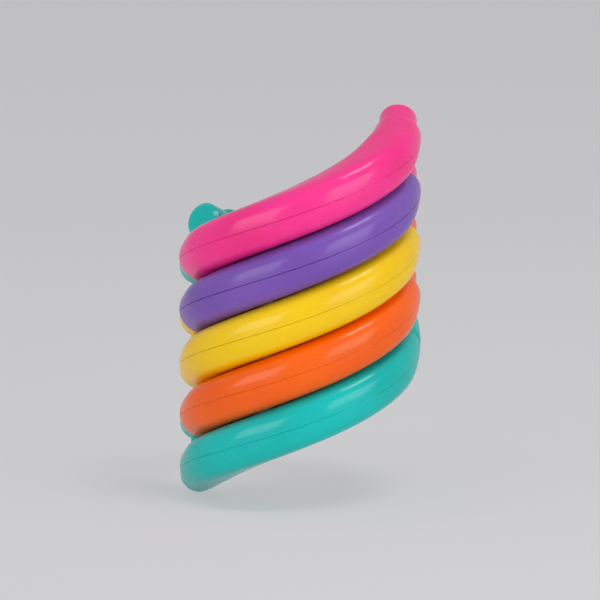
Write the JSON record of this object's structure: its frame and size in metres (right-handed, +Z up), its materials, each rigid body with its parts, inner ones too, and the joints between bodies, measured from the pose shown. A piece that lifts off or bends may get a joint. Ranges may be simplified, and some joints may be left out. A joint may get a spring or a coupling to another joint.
{
  "type": "twisty snake puzzle",
  "caption": "Loop of curved hollow plastic strands joined end to end by swivels, wound into a spiral coil; each swivel turns so the loop bends into new shapes.",
  "frame": {"origin": "under the coil's axis, at the level of the lowest barrel", "axes": "+Z up along the coil's axis, -Y towards the side with five strands, +X to its right"},
  "size_m": [0.0434, 0.0444, 0.0703],
  "materials": {
    "teal_plastic": "glossy",
    "orange_plastic": "glossy",
    "yellow_plastic": "glossy",
    "purple_plastic": "glossy",
    "pink_plastic": "glossy"
  },
  "bodies": {
    "teal_strand": {"teal_upper_shell": "teal_plastic", "teal_lower_shell": "teal_plastic", "teal_left_pin": "teal_plastic", "teal_right_pin": "teal_plastic"},
    "orange_strand": {"orange_upper_shell": "orange_plastic", "orange_lower_shell": "orange_plastic", "orange_left_pin": "orange_plastic", "orange_right_pin": "orange_plastic"},
    "yellow_strand": {"yellow_upper_shell": "yellow_plastic", "yellow_lower_shell": "yellow_plastic", "yellow_left_pin": "yellow_plastic", "yellow_right_pin": "yellow_plastic"},
    "purple_strand": {"purple_upper_shell": "purple_plastic", "purple_lower_shell": "purple_plastic", "purple_left_pin": "purple_plastic", "purple_right_pin": "purple_plastic"},
    "pink_strand": {"pink_upper_shell": "pink_plastic", "pink_lower_shell": "pink_plastic", "pink_left_pin": "pink_plastic", "pink_right_pin": "pink_plastic"},
    "back_strand": {"back_upper_shell": "teal_plastic", "back_lower_shell": "teal_plastic", "back_bush": "teal_plastic", "back_end_cap": "teal_plastic"},
    "teal_orange_link": {"teal_orange_link": "teal_plastic"},
    "orange_yellow_link": {"orange_yellow_link": "orange_plastic"},
    "yellow_purple_link": {"yellow_purple_link": "yellow_plastic"},
    "purple_pink_link": {"purple_pink_link": "purple_plastic"},
    "pink_back_link": {"pink_back_link": "teal_plastic"}
  },
  "joints": [
    {"name": "teal_left_swivel", "type": "hinge", "parent": "teal_strand", "child": "teal_orange_link", "pos_m": [-0.01733, -0.00306, 0.00517], "axis": [0.1596, -0.9052, 0.394], "range_deg": [0, 120]},
    {"name": "orange_left_swivel", "type": "hinge", "parent": "teal_orange_link", "child": "orange_strand", "pos_m": [-0.01733, -0.00306, 0.01465], "axis": [0.1596, -0.9052, 0.394], "range_deg": [0, 120]},
    {"name": "orange_right_swivel", "type": "hinge", "parent": "orange_strand", "child": "orange_yellow_link", "pos_m": [0.01758, -0.00092, 0.03664], "axis": [0.0481, 0.9179, 0.394], "range_deg": [0, 120]},
    {"name": "yellow_right_swivel", "type": "hinge", "parent": "orange_yellow_link", "child": "yellow_strand", "pos_m": [0.01758, -0.00092, 0.04612], "axis": [0.0481, 0.9179, 0.394], "range_deg": [0, 120]},
    {"name": "yellow_left_swivel", "type": "hinge", "parent": "yellow_strand", "child": "yellow_purple_link", "pos_m": [-0.01733, -0.00306, 0.02413], "axis": [0.1596, -0.9052, 0.394], "range_deg": [0, 120]},
    {"name": "purple_left_swivel", "type": "hinge", "parent": "yellow_purple_link", "child": "purple_strand", "pos_m": [-0.01733, -0.00306, 0.03361], "axis": [0.1596, -0.9052, 0.394], "range_deg": [0, 120]},
    {"name": "purple_right_swivel", "type": "hinge", "parent": "purple_strand", "child": "purple_pink_link", "pos_m": [0.01758, -0.00092, 0.0556], "axis": [0.0481, 0.9179, 0.394], "range_deg": [0, 120]},
    {"name": "pink_right_swivel", "type": "hinge", "parent": "purple_pink_link", "child": "pink_strand", "pos_m": [0.01758, -0.00092, 0.06508], "axis": [0.0481, 0.9179, 0.394], "range_deg": [0, 120]},
    {"name": "pink_left_swivel", "type": "hinge", "parent": "pink_strand", "child": "pink_back_link", "pos_m": [-0.01733, -0.00306, 0.04309], "axis": [0.1596, -0.9052, 0.394], "range_deg": [0, 120]},
    {"name": "back_swivel", "type": "hinge", "parent": "teal_strand", "child": "back_strand", "pos_m": [0.01758, -0.00092, 0.02716], "axis": [-0.0481, -0.9179, -0.394], "range_deg": [0, 150]}
  ]
}
